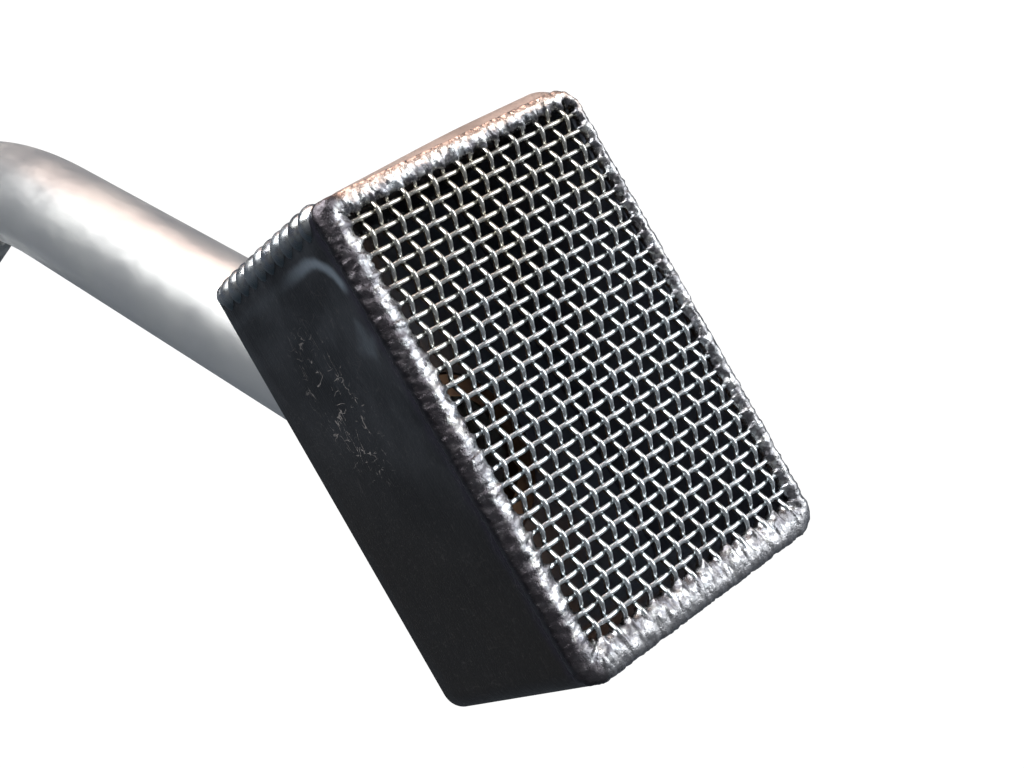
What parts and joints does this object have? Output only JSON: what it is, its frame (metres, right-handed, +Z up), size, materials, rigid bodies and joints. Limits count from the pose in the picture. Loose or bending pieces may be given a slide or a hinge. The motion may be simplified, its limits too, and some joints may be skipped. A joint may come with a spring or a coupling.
{
  "type": "burner assembly",
  "caption": "Rectangular welded sheet burner head faced with woven wire cloth, on a bent feed tube with a two-bolt flange and gusset.",
  "frame": {"origin": "centre of the mounting flange's lower face, on the axis of the feed tube's upright inlet run", "axes": "+Z up the inlet run and out of the wire cloth's face, +X the way the feed tube leans towards the head and the line of the flange's two bolt holes"},
  "size_m": [0.1383, 0.0406, 0.1936],
  "materials": {
    "plated_sheet": "bright zinc plate over brushed sheet, dark in shade",
    "plated_tube": "bright zinc plate with a faint pink and green tint",
    "cloth_wire": "drawn wire, zinc plated",
    "weld_metal": "rippled weld bead under zinc plate",
    "flange_steel": "zinc plated plate",
    "screw_steel": "zinc plated fastener"
  },
  "bodies": {
    "root": {"side_wall_strip": "plated_sheet", "back_plate": "plated_sheet", "back_plate_weld": "weld_metal", "corner_seam_weld": "weld_metal", "wire_cloth": "cloth_wire", "rim_weld_front": "weld_metal", "rim_weld_rear": "weld_metal", "rim_weld_seam_end": "weld_metal", "rim_weld_plain_end": "weld_metal", "feed_tube": "plated_tube", "tube_weld": "weld_metal", "mounting_flange": "flange_steel", "flange_weld": "weld_metal", "gusset": "flange_steel", "gusset_weld_front": "weld_metal", "gusset_weld_rear": "weld_metal", "flange_screw_1": "screw_steel", "flange_screw_2": "screw_steel", "plain_washer_1": "screw_steel", "plain_washer_2": "screw_steel", "spring_washer_1": "screw_steel", "spring_washer_2": "screw_steel"}
  },
  "joints": []
}
